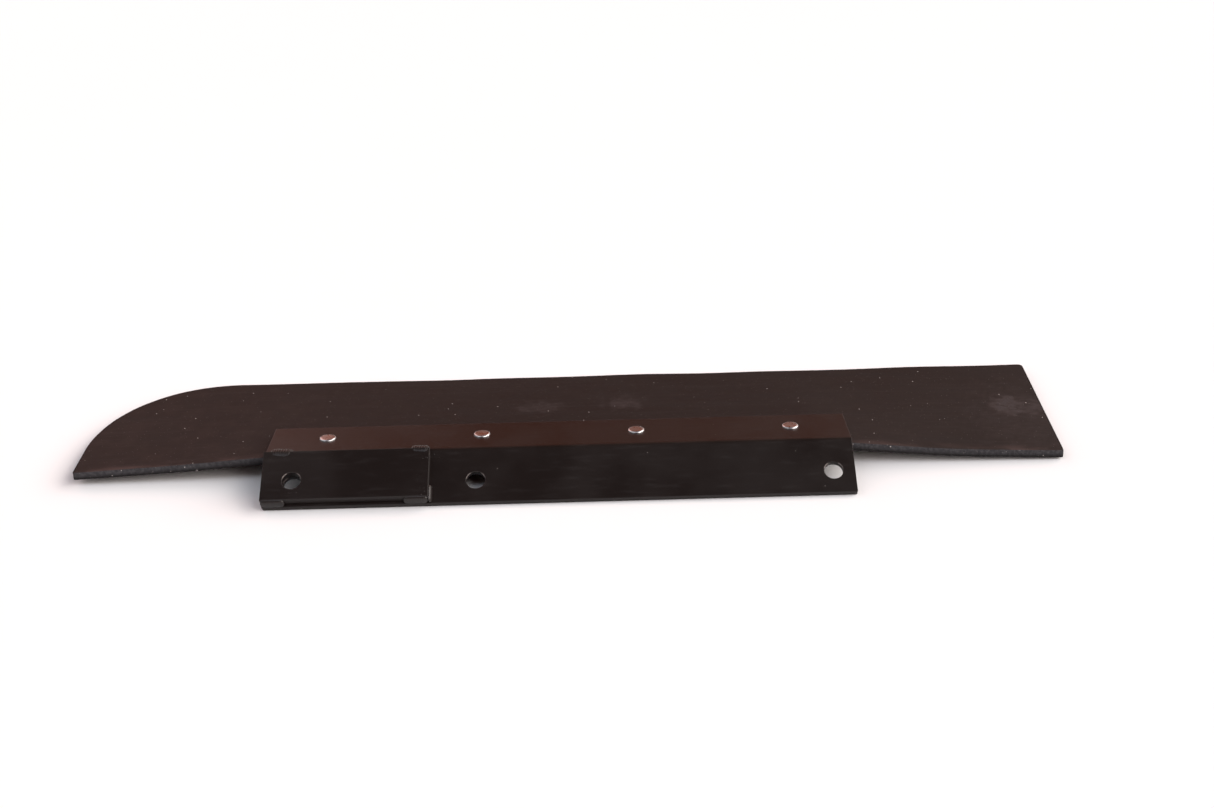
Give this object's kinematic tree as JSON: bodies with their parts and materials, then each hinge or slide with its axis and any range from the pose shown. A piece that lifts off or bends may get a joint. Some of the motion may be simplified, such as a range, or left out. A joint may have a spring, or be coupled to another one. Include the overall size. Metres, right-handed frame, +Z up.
{
  "type": "plow blade rubber flap",
  "caption": "Long knife-shaped black rubber snow flap riveted under a bent black steel mounting bracket with bolt holes and a welded doubler plate.",
  "frame": {"origin": "on the surface that the part lies on, at the middle of the part's length and width", "axes": "+X along the bracket towards the square end of the rubber, +Y from the bolt holes towards the free edge of the rubber, +Z up"},
  "size_m": [0.7709, 0.1997, 0.0317],
  "materials": {
    "rubber": "matte black sheet rubber, dusty",
    "black_paint": "satin black paint",
    "zinc": "zinc plated, satin",
    "painted_weld": "satin black paint over rippled weld"
  },
  "bodies": {
    "root": {"rubber_flap": "rubber", "mounting_bracket": "black_paint", "doubler_plate": "black_paint", "rivet_1": "zinc", "rivet_2": "zinc", "rivet_3": "zinc", "rivet_4": "zinc", "backing_washer_1": "zinc", "backing_washer_2": "zinc", "backing_washer_3": "zinc", "backing_washer_4": "zinc", "weld_top_left": "painted_weld", "weld_top_right": "painted_weld", "weld_bottom_left": "painted_weld", "weld_bottom_right": "painted_weld", "weld_end": "painted_weld"}
  },
  "joints": []
}
